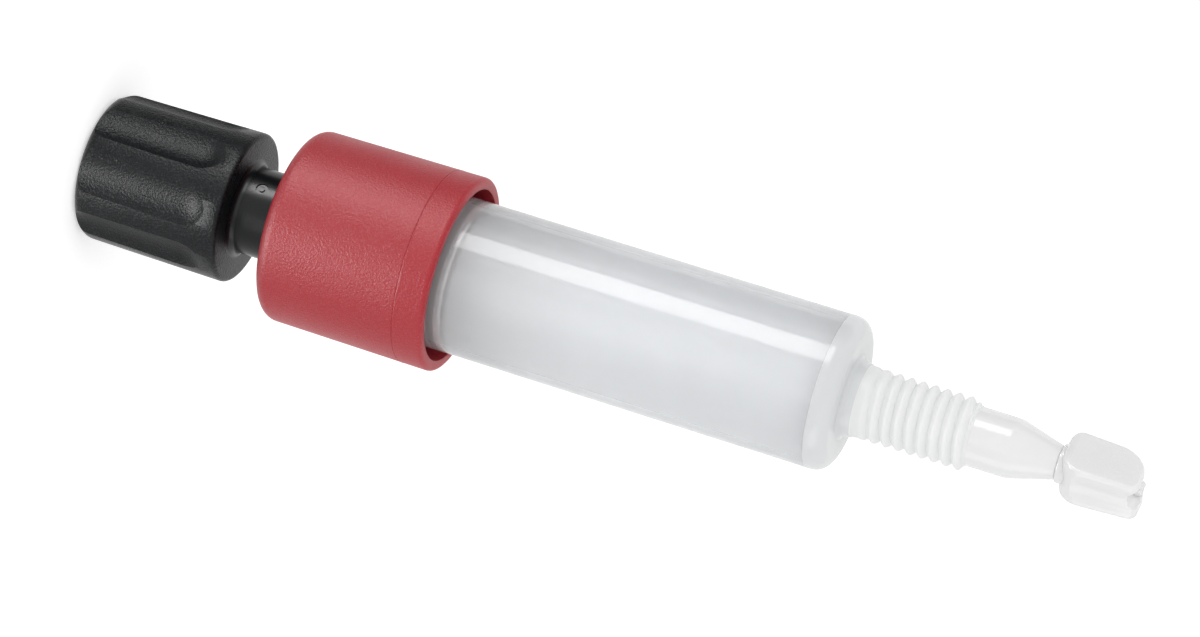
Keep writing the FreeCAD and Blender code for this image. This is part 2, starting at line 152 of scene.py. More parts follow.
STEM_TONE = 52.85  # height where the thread's finish starts
THREAD_START = 53.00
THREAD_LEAD = 0.05  # between the thread and the plain surface before and past it
THREAD_RUN_IN = 1.90  # the groove deepens over this length
THREAD_RUN_OUT = 0.20  # the last ridge drops over this length
THREAD_SHOULDER = 0.04
RIDGE_DROP = 0.34  # that drop starts this far before the thread's end
SUPPORT_RING = 0.03  # keeps the shading of the nozzle straight beside the thread
NOZZLE_ROUND = 0.25
CONE_TIP_ROUND = 0.10
BREAK_RADIUS = 1.02  # the break line, a finer groove than in the solids
HUB_RADIUS = 1.25
HUB_START = 66.03
HUB_ROUND = 0.12
HUB_SINK = 0.60  # the hub's end inside the tab
TAB_LENGTH = 5.21
TAB_CORNER = 0.20
TAB_BASE_ROUND = 0.90
TAB_NECK_ROUND = 1.60
TAB_NECK_EASE = 0.60  # the grained faces are eased over this length
TAB_NECK_THINNER = 0.34  # and by this much at the neck end
TAB_END_LEAN = 0.09
SPRUE_TEAR = 0.09  # how far the torn end wanders
SPRUE_WHOLE = 0.10  # the foot of the stub that isn't torn

# How far flute and hollow cutters run past the part, the rounding of cut edges, and the angles past which
# an edge is sharp or gets that rounding
FLUTE_CUT_PAST = 2.0
HOLLOW_CUT_PAST = 3.0
KNOB_EASE = 0.05
TAB_EASE = 0.08
SHARP_ANGLE = 35
EASE_ANGLE = 40

# The camera: the column's slope in the picture, its tilt out of the picture plane, and where the point
# AIM_HEIGHT on the axis lies from the camera, to the right, down and ahead
PICTURE_SLOPE = 17.38
PICTURE_TILT = 14.48
AIM_HEIGHT = 30.0
AIM_RIGHT = -4.775
AIM_DOWN = -1.466
AIM_AHEAD = 300.0
FOCAL_LENGTH = 140.78
SENSOR = 36.0

# How white the surroundings are as light, how far the seen floor is lifted towards white, and half the
# floor's width in metres
WORLD_LIGHT = 0.72
FLOOR_LIFT = 0.42
FLOOR_REACH = 6.0

# The gel's tone, from dark at 0 to light at 1: it lightens from GREY_LEAD before the bed's top to
# GREY_LENGTH past it, a painted shade that greys the bed towards the adapter, its clouds add their share,
# the sum is scaled and lifted, and a painted shadow of the sealing ring then takes it down to dark at the
# bed's top
GREY_LEAD = 4.0
GREY_LENGTH = 11.0
GREY_SHARE = 0.85
CLOUD_SHARE = 0.30
TONE_SHARE = 0.54
TONE_FLOOR = 0.46
# The painted shadow of the sealing ring starts this far before the bed's top
SHADE_LEAD = 0.05

# The refractive index of the clear plastic and how deep light spreads in the milky plastic, in metres
PLASTIC_INDEX = 1.49
MILKY_DEPTH = 0.0010


def turned(points, segments, closed=True):
    """A turned shape about Z through (radius, height) points, as a bmesh in metres."""
    shape = bmesh.new()
    verts = [shape.verts.new((radius * MM, 0, height * MM)) for radius, height in points]
    edges = [shape.edges.new(pair) for pair in zip(verts, verts[1:])]
    if closed:
        edges.append(shape.edges.new((verts[-1], verts[0])))
    bmesh.ops.spin(shape, geom=verts + edges, cent=(0, 0, 0), axis=(0, 0, 1), dvec=(0, 0, 0),
                   angle=FULL_TURN, steps=segments, use_merge=True)
    bmesh.ops.remove_doubles(shape, verts=shape.verts, dist=1e-7)
    bmesh.ops.dissolve_degenerate(shape, edges=shape.edges, dist=1e-8)
    bmesh.ops.recalc_face_normals(shape, faces=shape.faces)
    return shape


def on_ring(vert, radius, height):
    """Whether a vertex lies on the circle about Z at one radius and height."""
    reach = math.hypot(vert.co.x, vert.co.y)
    return abs(reach - radius * MM) < 1e-6 and abs(vert.co.z - height * MM) < 1e-6


def round_ring(shape, radius, height, size, segments=5):
    """Round the edge that runs about Z at one radius and height."""
    edges = [edge for edge in shape.edges if all(on_ring(vert, radius, height) for vert in edge.verts)]
    bmesh.ops.bevel(shape, geom=edges, offset=size * MM, offset_type="OFFSET", affect="EDGES",
                    segments=segments, profile=0.5, material=-1, clamp_overlap=True)


def as_object(name, shape, sharp_angle=SHARP_ANGLE):
    """Turn a bmesh into an object with smooth faces and sharp edges past an angle."""
    mesh = bpy.data.meshes.new(name)
    shape.to_mesh(mesh)
    shape.free()
    mesh.shade_smooth()
    mesh.set_sharp_from_angle(angle=math.radians(sharp_angle))
    thing = bpy.data.objects.new(name, mesh)
    bpy.context.collection.objects.link(thing)
    return thing


def settle(thing):
    """Apply an object's modifiers to its mesh."""
    graph = bpy.context.evaluated_depsgraph_get()
    mesh = bpy.data.meshes.new_from_object(thing.evaluated_get(graph), depsgraph=graph)
    thing.modifiers.clear()
    thing.data = mesh
    mesh.shade_smooth()
    mesh.set_sharp_from_angle(angle=math.radians(SHARP_ANGLE))


def boolean(thing, tools, operation):
    """Cut tools from a piece, or join them to it, and remove the tools."""
    for tool in tools:
        step = thing.modifiers.new(operation.lower(), "BOOLEAN")
        step.operation = operation
        step.solver = "EXACT"
        step.object = tool
    settle(thing)
    for tool in tools:
        bpy.data.objects.remove(tool)


def ease_edges(thing, width):
    """A small rounding on the edges that cuts leave, with shading that keeps the broad faces even."""
    bevel = thing.modifiers.new("ease", "BEVEL")
    bevel.width = width * MM
    bevel.segments = 2
    bevel.limit_method = "ANGLE"
    bevel.angle_limit = math.radians(EASE_ANGLE)
    bevel.harden_normals = True


def even_shading(thing):
    """Shading that follows the broad faces, so that long walls look straight beside their roundings."""
    even = thing.modifiers.new("even shading", "WEIGHTED_NORMAL")
    even.keep_sharp = True


def round_ended_cutter(name, x, y, start, end, radius):
    """A rod with a ball at one end, the form of a flute or groove cutter."""
    shape = bmesh.new()
    rod = bmesh.ops.create_cone(shape, cap_ends=True, segments=160, radius1=radius * MM, radius2=radius * MM,
                                depth=abs(end - start) * MM)
    bmesh.ops.translate(shape, verts=rod["verts"], vec=(x * MM, y * MM, (start + end) / 2 * MM))
    cutter = as_object(name, shape)
    ball = bmesh.new()
    bmesh.ops.create_uvsphere(ball, u_segments=160, v_segments=80, radius=radius * MM)
    bmesh.ops.translate(ball, verts=ball.verts, vec=(x * MM, y * MM, start * MM))
    boolean(cutter, [as_object(name + "_ball", ball)], "UNION")
    return cutter


# Shader groups


def new_group(name, inputs, outputs):
    """An empty node group with named value inputs and outputs."""
    group = bpy.data.node_groups.new(name, "ShaderNodeTree")
    for label, value in inputs:
        socket = group.interface.new_socket(name=label, in_out="INPUT", socket_type="NodeSocketFloat")
        socket.default_value = value
    for label in outputs:
        group.interface.new_socket(name=label, in_out="OUTPUT", socket_type="NodeSocketFloat")
    return group, group.nodes.new("NodeGroupInput"), group.nodes.new("NodeGroupOutput")


def math_node(tree, operation, first, second):
    """A math node whose inputs are sockets or numbers."""
    node = tree.nodes.new("ShaderNodeMath")
    node.operation = operation
    for slot, value in enumerate((first, second)):
        if isinstance(value, (int, float)):
            node.inputs[slot].default_value = value
        else:
            tree.links.new(value, node.inputs[slot])
    return node.outputs[0]


def noise_value(tree, place, scale, detail=2.0, roughness=0.5):
    """A noise texture at a place, whose scale is a socket or a number."""
    node = tree.nodes.new("ShaderNodeTexNoise")
    node.inputs["Detail"].default_value = detail
    node.inputs["Roughness"].default_value = roughness
    tree.links.new(place, node.inputs["Vector"])
    if isinstance(scale, (int, float)):
        node.inputs["Scale"].default_value = scale
    else:
        tree.links.new(scale, node.inputs["Scale"])
    return node.outputs["Fac"]


def moulded_grain_group():
    """Spark-eroded mould grain: a pebbled height, fine bright specks and a slow change of tone."""
    group, given, result = new_group("moulded grain", [("Grain Scale", 4000.0), ("Cloud Scale", 260.0)],
                                     ["Height", "Specks", "Cloud"])
    place = group.nodes.new("ShaderNodeTexCoord").outputs["Object"]
    cells = group.nodes.new("ShaderNodeTexVoronoi")
    cells.feature = "SMOOTH_F1"
    cells.inputs["Smoothness"].default_value = 0.6
    group.links.new(place, cells.inputs["Vector"])
    group.links.new(given.outputs["Grain Scale"], cells.inputs["Scale"])
    fine_scale = math_node(group, "MULTIPLY", given.outputs["Grain Scale"], 1.7)
    fine = noise_value(group, place, fine_scale, 3.0, 0.6)
    height = math_node(group, "ADD", math_node(group, "MULTIPLY", cells.outputs["Distance"], 0.7), fine)
    group.links.new(height, result.inputs["Height"])
    specks = group.nodes.new("ShaderNodeMapRange")
    specks.inputs["From Min"].default_value = 0.54
    specks.inputs["From Max"].default_value = 0.72
    group.links.new(fine, specks.inputs["Value"])
    group.links.new(specks.outputs["Result"], result.inputs["Specks"])
    group.links.new(noise_value(group, place, given.outputs["Cloud Scale"], 2.0), result.inputs["Cloud"])
    return group


def drawn_surface_group():
    """The faint waviness and flow marks of a smooth moulded surface, drawn out along Z."""
    group, given, result = new_group("smooth moulding", [("Wave Scale", 500.0)], ["Height", "Haze"])
    place = group.nodes.new("ShaderNodeTexCoord").outputs["Object"]
    stretch = group.nodes.new("ShaderNodeMapping")
    stretch.inputs["Scale"].default_value = (1.0, 1.0, 0.22)
    group.links.new(place, stretch.inputs["Vector"])
    group.links.new(noise_value(group, stretch.outputs["Vector"], given.outputs["Wave Scale"], 2.0),
                    result.inputs["Height"])
    group.links.new(noise_value(group, place, 320.0, 3.0), result.inputs["Haze"])
    return group


GRAIN = moulded_grain_group()
SMOOTH = drawn_surface_group()


class Finish:
    """A material with a Principled shader and helpers that vary it over the surface."""

    def __init__(self, name, colour, roughness):
        self.material = bpy.data.materials.new(name)
        self.material.use_nodes = True
        self.tree = self.material.node_tree
        self.shader = self.tree.nodes["Principled BSDF"]
        self.output = self.tree.nodes["Material Output"]
        self.shader.inputs["Base Color"].default_value = (*colour, 1)
        self.shader.inputs["Roughness"].default_value = roughness

    def set(self, label, value):
        """One value of the shader."""
        self.shader.inputs[label].default_value = value

    def place(self, group, **values):
        """Add a node group with its values, and give its outputs."""
        node = self.tree.nodes.new("ShaderNodeGroup")
        node.node_tree = group
        for label, value in values.items():
            node.inputs[label.replace("_", " ")].default_value = value
        return node.outputs

    def tint(self, first, second, factor):
        """Base colour between two colours."""
        mix = self.tree.nodes.new("ShaderNodeMix")
        mix.data_type = "RGBA"
        mix.inputs["A"].default_value = (*first, 1)
        mix.inputs["B"].default_value = (*second, 1)
        self.tree.links.new(factor, mix.inputs["Factor"])
        self.tree.links.new(mix.outputs["Result"], self.shader.inputs["Base Color"])

    def span(self, label, low, high, factor):
        """A shader value that runs between two numbers."""
        node = self.tree.nodes.new("ShaderNodeMapRange")
        node.inputs["From Min"].default_value = 0.3
        node.inputs["From Max"].default_value = 0.7
        node.inputs["To Min"].default_value = low
        node.inputs["To Max"].default_value = high
        self.tree.links.new(factor, node.inputs["Value"])
        self.tree.links.new(node.outputs["Result"], self.shader.inputs[label])

    def bump(self, height, strength, depth):
        """Bump the surface by a height, to a depth in millimetres."""
        node = self.tree.nodes.new("ShaderNodeBump")
        node.inputs["Strength"].default_value = strength
        node.inputs["Distance"].default_value = depth * MM
        self.tree.links.new(height, node.inputs["Height"])
        self.tree.links.new(node.outputs["Normal"], self.shader.inputs["Normal"])

    def spread_light(self, share):
        """Light that spreads under the surface, as in milky plastic."""
        self.set("IOR", PLASTIC_INDEX)
        self.set("Subsurface Weight", share)
        self.set("Subsurface Radius", (1.0, 1.0, 1.0))
        self.set("Subsurface Scale", MILKY_DEPTH)

    def let_lamps_through(self, share):
        """Shadow rays pass, so that what is inside is lit through the wall."""
        rays = self.tree.nodes.new("ShaderNodeLightPath")
        factor = math_node(self.tree, "MULTIPLY", rays.outputs["Is Shadow Ray"], share)
        clear = self.tree.nodes.new("ShaderNodeBsdfTransparent")
        mix = self.tree.nodes.new("ShaderNodeMixShader")
        self.tree.links.new(factor, mix.inputs["Fac"])
        self.tree.links.new(self.shader.outputs["BSDF"], mix.inputs[1])
        self.tree.links.new(clear.outputs["BSDF"], mix.inputs[2])
        self.tree.links.new(mix.outputs["Shader"], self.output.inputs["Surface"])


def black_grain():
    """The knob's grain: black, with paler specks that catch the light."""
    finish = Finish("black grained plastic", (0.012, 0.013, 0.015), 0.36)
    grain = finish.place(GRAIN, Grain_Scale=6400.0, Cloud_Scale=300.0)
    finish.set("Specular IOR Level", 0.17)
    finish.tint((0.003, 0.0038, 0.0046), (0.036, 0.039, 0.043), grain["Specks"])
    finish.span("Roughness", 0.26, 0.33, grain["Cloud"])
    finish.bump(grain["Height"], 0.90, 0.030)
    return finish.material


def black_smooth():
    """The neck and nose: black, faintly wavy."""
    finish = Finish("black smooth plastic", (0.012, 0.013, 0.015), 0.3)
    surface = finish.place(SMOOTH, Wave_Scale=420.0)
    finish.set("Specular IOR Level", 0.24)
    finish.tint((0.003, 0.0036, 0.0042), (0.006, 0.007, 0.008), surface["Haze"])
    finish.span("Roughness", 0.20, 0.28, surface["Haze"])
    finish.bump(surface["Height"], 0.30, 0.030)
    return finish.material


def red_grain():
    """The collar's grain: red, with paler specks."""
    finish = Finish("red grained plastic", (0.42, 0.035, 0.05), 0.40)
    grain = finish.place(GRAIN, Grain_Scale=6600.0, Cloud_Scale=220.0)
    finish.set("Specular IOR Level", 0.36)
    finish.tint((0.415, 0.018, 0.028), (0.50, 0.062, 0.080), grain["Specks"])
    finish.span("Roughness", 0.34, 0.42, grain["Cloud"])
    finish.bump(grain["Height"], 0.90, 0.034)
    return finish.material


def clear_wall():
    """The tube's wall, part clear and part milky."""
    finish = Finish("milky clear plastic", (0.88, 0.89, 0.90), 0.08)
    surface = finish.place(SMOOTH, Wave_Scale=300.0)
    finish.set("IOR", PLASTIC_INDEX)
    finish.set("Transmission Weight", 0.70)
    finish.span("Roughness", 0.06, 0.11, surface["Haze"])
    finish.tint((0.885, 0.896, 0.908), (0.915, 0.923, 0.932), surface["Haze"])
    finish.bump(surface["Height"], 0.10, 0.030)
    finish.let_lamps_through(0.85)
    return finish.material


def milky(name, colour, low, high, waves, glow=0.35):
    """Smooth milky plastic, whose light spreads under the surface as far as its glow says."""
    finish = Finish(name, colour, (low + high) / 2)
    surface = finish.place(SMOOTH, Wave_Scale=waves)
    finish.spread_light(glow)
    darker = [0.98 * part for part in colour]
    lighter = [1.02 * part for part in colour]
    finish.tint(darker, lighter, surface["Haze"])
    finish.span("Roughness", low, high, surface["Haze"])
    finish.bump(surface["Height"], 0.12, 0.020)
    return finish.material


def milky_grain():
    """The tab's two grained faces."""
    finish = Finish("milky grained plastic", (0.87, 0.875, 0.87), 0.38)
    grain = finish.place(GRAIN, Grain_Scale=6500.0, Cloud_Scale=400.0)
    finish.spread_light(0.35)
    finish.tint((0.83, 0.836, 0.832), (0.90, 0.90, 0.89), grain["Specks"])
    finish.span("Roughness", 0.34, 0.44, grain["Cloud"])
    finish.bump(grain["Height"], 0.45, 0.020)
    return finish.material


def rising(tree, low, high):
    """A value that grows smoothly from 0 to 1 between two heights."""
    parts = tree.nodes.new("ShaderNodeSeparateXYZ")
    tree.links.new(tree.nodes.new("ShaderNodeTexCoord").outputs["Object"], parts.inputs["Vector"])
    ramp = tree.nodes.new("ShaderNodeMapRange")
    ramp.interpolation_type = "SMOOTHSTEP"
    ramp.inputs["From Min"].default_value = low * MM
    ramp.inputs["From Max"].default_value = high * MM
    tree.links.new(parts.outputs["Z"], ramp.inputs["Value"])
    return ramp.outputs["Result"]


def gel():
    """White gel with painted shade: greyer towards the adapter, and a painted shadow of the sealing ring that
    darkens it at the bed's top.
    """
    finish = Finish("packed gel", (0.88, 0.89, 0.905), 0.6)
    grain = finish.place(GRAIN, Grain_Scale=9000.0, Cloud_Scale=260.0)
    # Painted shade: the gel greys towards the adapter
    fade = rising(finish.tree, BED_TOP - GREY_LEAD, BED_TOP + GREY_LENGTH)
    fade = math_node(finish.tree, "MULTIPLY", fade, GREY_SHARE)
    cloud = math_node(finish.tree, "MULTIPLY", grain["Cloud"], CLOUD_SHARE)
    tone = math_node(finish.tree, "ADD", fade, cloud)
    tone = math_node(finish.tree, "MULTIPLY", tone, TONE_SHARE)
    tone = math_node(finish.tree, "ADD", tone, TONE_FLOOR)
    # Painted shadow of the sealing ring, darkening the bed's top
    shade = rising(finish.tree, BED_TOP - SHADE_LEAD, BED_TOP + SEAL_SHADE)
    tone = math_node(finish.tree, "MULTIPLY", tone, shade)
    finish.tint((0.10, 0.102, 0.108), (0.69, 0.702, 0.72), tone)
    finish.span("Roughness", 0.50, 0.65, grain["Cloud"])
    finish.bump(grain["Height"], 0.30, 0.020)
    return finish.material


def porous():
    """Sintered beads of the frits."""
    finish = Finish("sintered plastic", (0.80, 0.80, 0.79), 0.7)
    grain = finish.place(GRAIN, Grain_Scale=7000.0, Cloud_Scale=500.0)
    finish.tint((0.72, 0.72, 0.71), (0.86, 0.86, 0.85), grain["Specks"])
    finish.span("Roughness", 0.60, 0.75, grain["Cloud"])
    finish.bump(grain["Height"], 0.60, 0.040)
    return finish.material


def seal_rubber():
    """The sealing ring's black rubber."""
    finish = Finish("seal rubber", (0.02, 0.02, 0.021), 0.45)
    surface = finish.place(SMOOTH, Wave_Scale=900.0)
    finish.tint((0.015, 0.015, 0.016), (0.035, 0.034, 0.036), surface["Haze"])
    finish.span("Roughness", 0.38, 0.52, surface["Haze"])
    finish.bump(surface["Height"], 0.20, 0.020)
    return finish.material


def natural_smooth():
    """The adapter's plastic in its natural tone."""
    finish = Finish("natural plastic", (0.62, 0.63, 0.63), 0.35)
    surface = finish.place(SMOOTH, Wave_Scale=500.0)
    finish.tint((0.56, 0.57, 0.57), (0.66, 0.67, 0.67), surface["Haze"])
    finish.span("Roughness", 0.30, 0.42, surface["Haze"])
    finish.bump(surface["Height"], 0.15, 0.020)
    return finish.material


BLACK_GRAIN = black_grain()
BLACK_SMOOTH = black_smooth()
RED_GRAIN = red_grain()
CLEAR_WALL = clear_wall()
MILKY_SMOOTH = milky("milky plastic", (0.865, 0.87, 0.865), 0.10, 0.17, 700.0)
MILKY_THREAD = milky("milky thread", (0.86, 0.87, 0.865), 0.42, 0.54, 700.0, glow=0.9)
MILKY_END = milky("milky tube end", (0.735, 0.75, 0.757), 0.12, 0.18, 300.0)
MILKY_GRAIN = milky_grain()
GEL = gel()
POROUS = porous()
SEAL_RUBBER = seal_rubber()
NATURAL_SMOOTH = natural_smooth()


def dress(thing, *materials):
    """Give a piece its materials in place of any it has."""
    thing.data.materials.clear()
    for material in materials:
        thing.data.materials.append(material)


# Stop plug


def flute_cutters():
    """The rods with ball ends that cut the knob's flutes."""
    half_width = FLUTE_WIDTH / 2
    mean_radius = (KNOB_END_RADIUS + KNOB_ROOT_RADIUS) / 2
    chord_depth = FLUTE_DEPTH - mean_radius + math.sqrt(mean_radius ** 2 - half_width ** 2)
    cutter_radius = (half_width ** 2 + chord_depth ** 2) / (2 * chord_depth)
    reach = mean_radius - FLUTE_DEPTH + cutter_radius
    flute_end = KNOB_LENGTH - FLUTE_STOP - half_width
    cutters = []
    for index in range(FLUTES):
        angle = math.radians(FLUTE_TURN + index * 360 / FLUTES)
        cutters.append(round_ended_cutter(f"flute_{index}", reach * math.cos(angle), reach * math.sin(angle),
                                          flute_end, -FLUTE_CUT_PAST, cutter_radius))
    return cutters


def gate_cutter():
    """The small tube that presses the ring of the gate mark into the neck."""
    gate = turned([(GATE_BUTTON, -GATE_DEPTH), (GATE_RADIUS, -GATE_DEPTH), (GATE_RADIUS, GATE_DEPTH),
                   (GATE_BUTTON, GATE_DEPTH)], 32)
    angle = math.radians(GATE_TURN)
    turn = Matrix.Rotation(angle, 4, "Z") @ Matrix.Rotation(math.radians(90), 4, "Y")
    bmesh.ops.transform(gate, verts=gate.verts, matrix=turn)
    direction = Vector((math.cos(angle), math.sin(angle), 0))
    spot = direction * NECK_RADIUS * MM + Vector((0, 0, (KNOB_LENGTH + GATE_HEIGHT) * MM))
    bmesh.ops.translate(gate, verts=gate.verts, vec=spot)
    return as_object("gate_cutter", gate)


def knob_and_neck():
    """The fluted knob with its neck, up to the shoulder inside the collar."""
    neck_end = COLLAR_BASE + COLLAR_END_WALL - NOSE_SETBACK
    shape = turned([(0, 0), (KNOB_END_RADIUS, 0), (KNOB_ROOT_RADIUS, KNOB_LENGTH), (NECK_RADIUS, KNOB_LENGTH),
                    (NECK_RADIUS, neck_end), (0, neck_end)], 192, closed=False)
    round_ring(shape, KNOB_END_RADIUS, 0, KNOB_END_ROUND, 8)
    round_ring(shape, KNOB_ROOT_RADIUS, KNOB_LENGTH, KNOB_BEVEL, 4)
    round_ring(shape, NECK_RADIUS, KNOB_LENGTH, NECK_FILLET, 6)
    knob = as_object("stop_plug_knob", shape)
    boolean(knob, flute_cutters(), "DIFFERENCE")
    boolean(knob, [gate_cutter()], "DIFFERENCE")
    dress(knob, BLACK_GRAIN, BLACK_SMOOTH)
    smooth_reach = (NECK_RADIUS + NECK_FILLET + SMOOTH_MARGIN) * MM
    for face in knob.data.polygons:
        reach = max(math.hypot(*knob.data.vertices[index].co.xy) for index in face.vertices)
        on_neck = reach < smooth_reach and face.center.z > SMOOTH_START * MM
        face.material_index = 1 if on_neck else 0
    ease_edges(knob, KNOB_EASE)
    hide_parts("stop_plug")
    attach(knob, "plug")


def threaded(points, segments, start, end, crest_height, run_in):
    """A turned shape whose wall at the thread's radius between two heights carries a helical thread.

    The groove deepens over the run-in, and the ridge drops to the root at the far end.
    """
    shape = turned(points, segments)
    for vert in shape.verts:
        height = vert.co.z / MM
        reach = math.hypot(vert.co.x, vert.co.y) / MM
        if height < start or abs(reach - THREAD_RADIUS) > 1e-4:
            continue
        turn = math.atan2(vert.co.y, vert.co.x) / FULL_TURN
        step = ((height - crest_height) / PITCH - turn + 0.5) % 1.0
        groove = (2 * abs(step - 0.5)) ** 1.5
        groove *= min((height - start) / run_in, 1.0)
        ridge = (1 - groove) * min(max((end - height) / THREAD_RUN_OUT + 1, 0.0), 1.0)
        wanted = THREAD_ROOT + (reach - THREAD_ROOT) * ridge
        vert.co.x *= wanted / reach
        vert.co.y *= wanted / reach
    bmesh.ops.recalc_face_normals(shape, faces=shape.faces)
    return shape


def stepped_wall(radius, start, end, steps):
    """Points up a straight wall, close enough to carry a thread."""
    return [(radius, start + (end - start) * index / steps) for index in range(steps + 1)]


def plug_nose():
    """The plug's threaded nose with its sealing tip, hidden in the inlet port."""
    start = COLLAR_BASE + COLLAR_END_WALL - NOSE_SETBACK
    end = start + NOSE_LENGTH
    points = [(0, start - NOSE_SINK), (THREAD_RADIUS, start - NOSE_SINK)]
    points += stepped_wall(THREAD_RADIUS, start, end, 130)
    points += [(TIP_RADIUS, end), (TIP_END_RADIUS, end + TIP_LENGTH), (0, end + TIP_LENGTH)]
    shape = threaded(points, 72, start, end - THREAD_RUN_OUT, start, PITCH)
    nose = as_object("stop_plug_nose", shape, 50)
    dress(nose, BLACK_SMOOTH)
    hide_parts("stop_plug")
    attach(nose, "plug")


# Collar


def collar():
    """The red collar: end wall, skirt, snap bead and the fine ring round its outside."""
    adapter_face = COLLAR_BASE + COLLAR_END_WALL
    bead_start = adapter_face + 2 * FLANGE_THICKNESS + FIT_GAP
    bead_end = bead_start + BEAD_LENGTH
    hole = NECK_RADIUS + NECK_GAP
    ring = COLLAR_RIM - RING_HEIGHT
    share = (ring - COLLAR_BASE) / (COLLAR_RIM - COLLAR_BASE)
    ring_reach = COLLAR_END_RADIUS + share * (COLLAR_RIM_RADIUS - COLLAR_END_RADIUS)
    shape = turned([
        (hole, COLLAR_BASE),
        (COLLAR_END_RADIUS, COLLAR_BASE),
        (ring_reach, ring - RING_RADIUS * 0.7),
        (ring_reach - RING_RADIUS * 0.5, ring - RING_RADIUS * 0.2),
        (ring_reach - RING_RADIUS * 0.5, ring),
        (ring_reach + RING_LIP, ring + RING_RADIUS),
        (ring_reach + RING_LIP, ring + RING_RADIUS * 1.5),
        (ring_reach, ring + RING_RADIUS * 2.5),
        (COLLAR_RIM_RADIUS, COLLAR_RIM),
        (COLLAR_BORE, COLLAR_RIM),
        (COLLAR_BORE, bead_end + BEAD_RISE),
        (COLLAR_BORE - BEAD_RISE, bead_end),
        (COLLAR_BORE - BEAD_RISE, bead_start),
        (COLLAR_BORE, bead_start),
        (COLLAR_BORE, adapter_face),
        (hole, adapter_face),
    ], 256)
    round_ring(shape, COLLAR_END_RADIUS, COLLAR_BASE, COLLAR_END_ROUND, 8)
    round_ring(shape, COLLAR_RIM_RADIUS, COLLAR_RIM, RIM_ROUND, 4)
    round_ring(shape, COLLAR_BORE, COLLAR_RIM, RIM_BORE_ROUND, 2)
    round_ring(shape, hole, COLLAR_BASE, HOLE_ROUND, 2)
    piece = as_object("collar_shell", shape)
    dress(piece, RED_GRAIN)
    even_shading(piece)
    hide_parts("collar")
    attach(piece, "column")


# Column tube


def tube_barrel():
    """The flanged clear tube with its closed end."""
    top = COLLAR_BASE + COLLAR_END_WALL + FLANGE_THICKNESS
    flange_radius = COLLAR_BORE - FIT_GAP
    flange_end = top + FLANGE_THICKNESS
    shape = turned([
        (TUBE_BORE, top),
        (flange_radius, top),
        (flange_radius, flange_end),
        (TUBE_RADIUS, flange_end),
        (TUBE_RADIUS, BED_END),
        (TUBE_RADIUS, TUBE_END),
        (CHANNEL_RADIUS, TUBE_END),
        (CHANNEL_RADIUS, FLOOR_TOP),
        (TUBE_BORE, FLOOR_TOP),
    ], 256)
    round_ring(shape, TUBE_RADIUS, TUBE_END, TUBE_END_ROUND, 12)
    round_ring(shape, flange_radius, flange_end, FLANGE_ROUND, 3)
    piece = as_object("column_tube_barrel", shape)
    dress(piece, CLEAR_WALL, MILKY_END)
    for face in piece.data.polygons:
        face.material_index = 1 if face.center.z > (BED_END + TUBE_END_TONE) * MM else 0
    even_shading(piece)
    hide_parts("column_tube")
    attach(piece, "column")


def outlet():
    """The outlet stem with its male thread, the nozzle and the tapered tip down to the break line."""
    points = [(CHANNEL_RADIUS, TUBE_END - STEM_SINK), (STEM_RADIUS + ROOT_COVE, TUBE_END - STEM_SINK)]
    for degrees in range(0, 91, 15):
        angle = math.radians(degrees)
        points.append((STEM_RADIUS + ROOT_COVE * (1 - math.sin(angle)),
                       TUBE_END + ROOT_COVE * (1 - math.cos(angle))))
    points += [(STEM_RADIUS - STEM_DRAFT, THREAD_START - THREAD_LEAD)]
    points += stepped_wall(THREAD_RADIUS, THREAD_START, THREAD_END - THREAD_SHOULDER, 260)
    points += [(NOZZLE_RADIUS, THREAD_END), (NOZZLE_RADIUS, THREAD_END + SUPPORT_RING)]
    points += [(NOZZLE_RADIUS, NOZZLE_END), (CONE_TIP_RADIUS, CONE_END)]
    points += [(BREAK_RADIUS, CONE_END), (BREAK_RADIUS, HUB_START), (HUB_RADIUS, HUB_START)]
    points += [(HUB_RADIUS, TAB_BASE + HUB_SINK), (CHANNEL_RADIUS, TAB_BASE + HUB_SINK)]
    shape = threaded(points, 128, THREAD_START, THREAD_END - RIDGE_DROP, CREST_HEIGHT, THREAD_RUN_IN)
    round_ring(shape, NOZZLE_RADIUS, NOZZLE_END, NOZZLE_ROUND, 3)
    round_ring(shape, CONE_TIP_RADIUS, CONE_END, CONE_TIP_ROUND, 3)
    round_ring(shape, HUB_RADIUS, HUB_START, HUB_ROUND, 4)
    piece = as_object("column_tube_outlet", shape, 50)
    dress(piece, MILKY_SMOOTH, MILKY_THREAD, MILKY_END)
    for face in piece.data.polygons:
        height = face.center.z / MM
        if height < STEM_TONE:
            face.material_index = 2
        elif height < THREAD_END - THREAD_LEAD:
            face.material_index = 1
    even_shading(piece)
    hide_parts("column_tube")
    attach(piece, "column")


def rounded_outline(corners, steps=8):
    """Points round a rectangle whose corners (across, up, inwards across, inwards up, radius) are rounded."""
    points = []
    for index, (across, up, in_across, in_up, radius) in enumerate(corners):
        for step in range(steps + 1):
            share = step / steps if index % 2 else 1 - step / steps
            angle = share * math.pi / 2
            points.append((across + in_across * radius * (1 - math.cos(angle)),
                           up + in_up * radius * (1 - math.sin(angle))))
    return points


